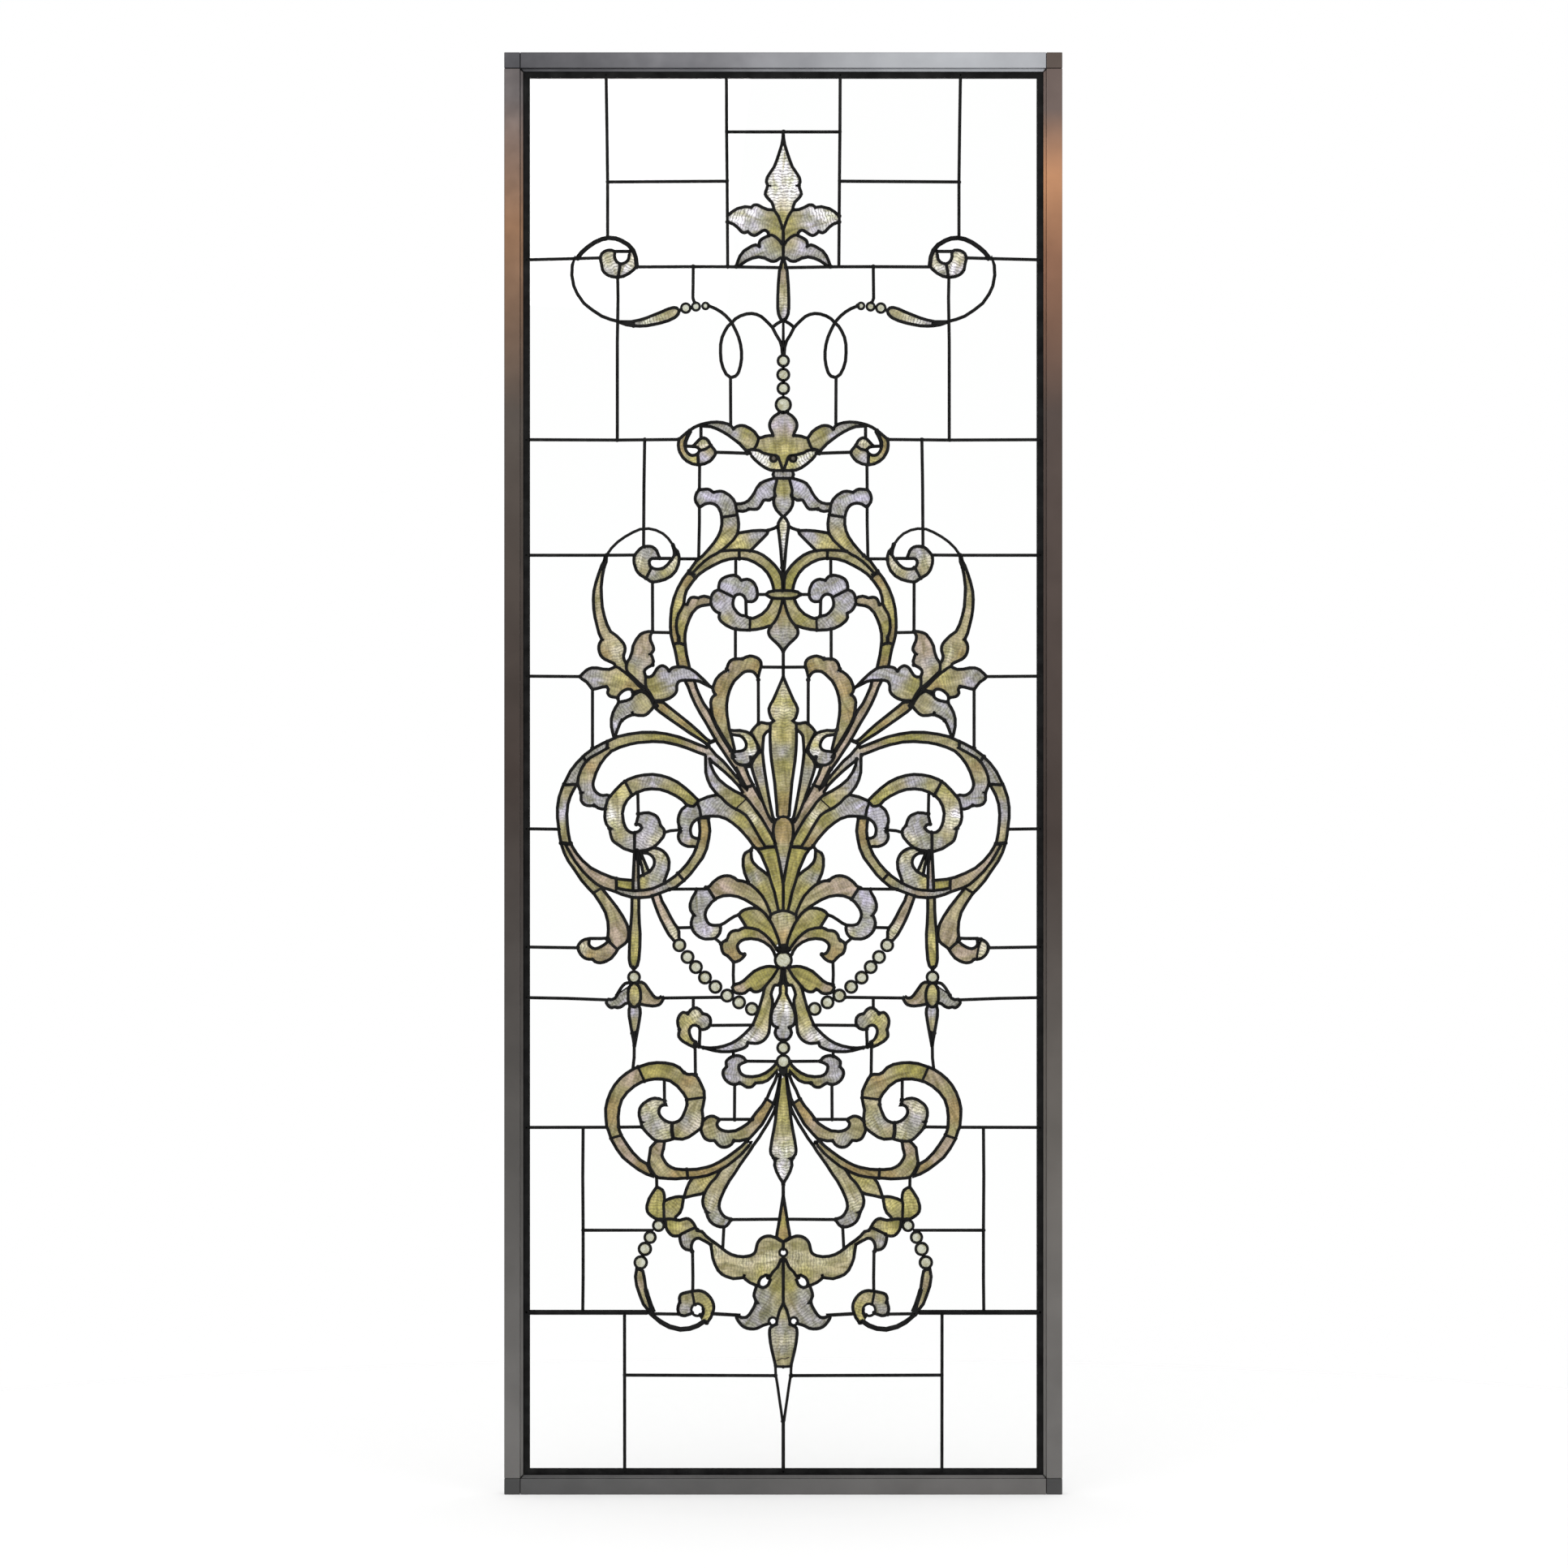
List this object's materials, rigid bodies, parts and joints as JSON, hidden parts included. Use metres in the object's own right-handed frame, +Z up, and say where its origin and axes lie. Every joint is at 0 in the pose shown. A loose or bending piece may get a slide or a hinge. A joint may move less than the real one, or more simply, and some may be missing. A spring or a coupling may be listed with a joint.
{
  "type": "leaded glass window",
  "caption": "Tall rectangular window panel of clear and opalescent glass held by lead cames in a slim metal frame, with a scrolled foliate ornament.",
  "frame": {"origin": "middle of the frame's underside, halfway through its depth", "axes": "+Z up along the window's height, +X along its width to the viewer's right, front towards -Y"},
  "size_m": [0.774, 0.028, 2],
  "materials": {
    "rail": "satin brown patina",
    "key": "satin brown patina",
    "lead": "blackened lead, soldered at the joints",
    "clear_glass": "clear, slightly wavy",
    "opal_glass": "streaky opalescent, rippled"
  },
  "bodies": {
    "root": {"rail_bottom": "rail", "rail_top": "rail", "rail_left": "rail", "rail_right": "rail", "key_bottom_left": "key", "key_bottom_right": "key", "key_top_left": "key", "key_top_right": "key", "cames": "lead", "field_glass_01": "clear_glass", "field_glass_02": "clear_glass", "field_glass_03": "clear_glass", "field_glass_04": "clear_glass", "field_glass_05": "clear_glass", "field_glass_06": "clear_glass", "field_glass_07": "clear_glass", "field_glass_08": "clear_glass", "field_glass_09": "clear_glass", "field_glass_10": "clear_glass", "field_glass_11": "clear_glass", "field_glass_12": "clear_glass", "field_glass_13": "clear_glass", "field_glass_14": "clear_glass", "field_glass_15": "clear_glass", "field_glass_16": "clear_glass", "field_glass_17": "clear_glass", "field_glass_18": "clear_glass", "field_glass_19": "clear_glass", "field_glass_20": "clear_glass", "field_glass_21": "clear_glass", "field_glass_22": "clear_glass", "field_glass_23": "clear_glass", "field_glass_24": "clear_glass", "field_glass_25": "clear_glass", "field_glass_26": "clear_glass", "field_glass_27": "clear_glass", "field_glass_28": "clear_glass", "field_glass_29": "clear_glass", "field_glass_30": "clear_glass", "field_glass_31": "clear_glass", "field_glass_32": "clear_glass", "field_glass_33": "clear_glass", "field_glass_34": "clear_glass", "field_glass_35": "clear_glass", "field_glass_36": "clear_glass", "field_glass_37": "clear_glass", "field_glass_38": "clear_glass", "field_glass_39": "clear_glass", "field_glass_40": "clear_glass", "ornament_glass_01": "opal_glass", "ornament_glass_02": "opal_glass", "ornament_glass_03": "opal_glass", "ornament_glass_04": "opal_glass", "ornament_glass_05": "opal_glass", "ornament_glass_06": "opal_glass", "ornament_glass_07": "opal_glass", "ornament_glass_08": "opal_glass", "ornament_glass_09": "opal_glass", "ornament_glass_10": "opal_glass", "ornament_glass_11": "opal_glass"}
  },
  "joints": []
}
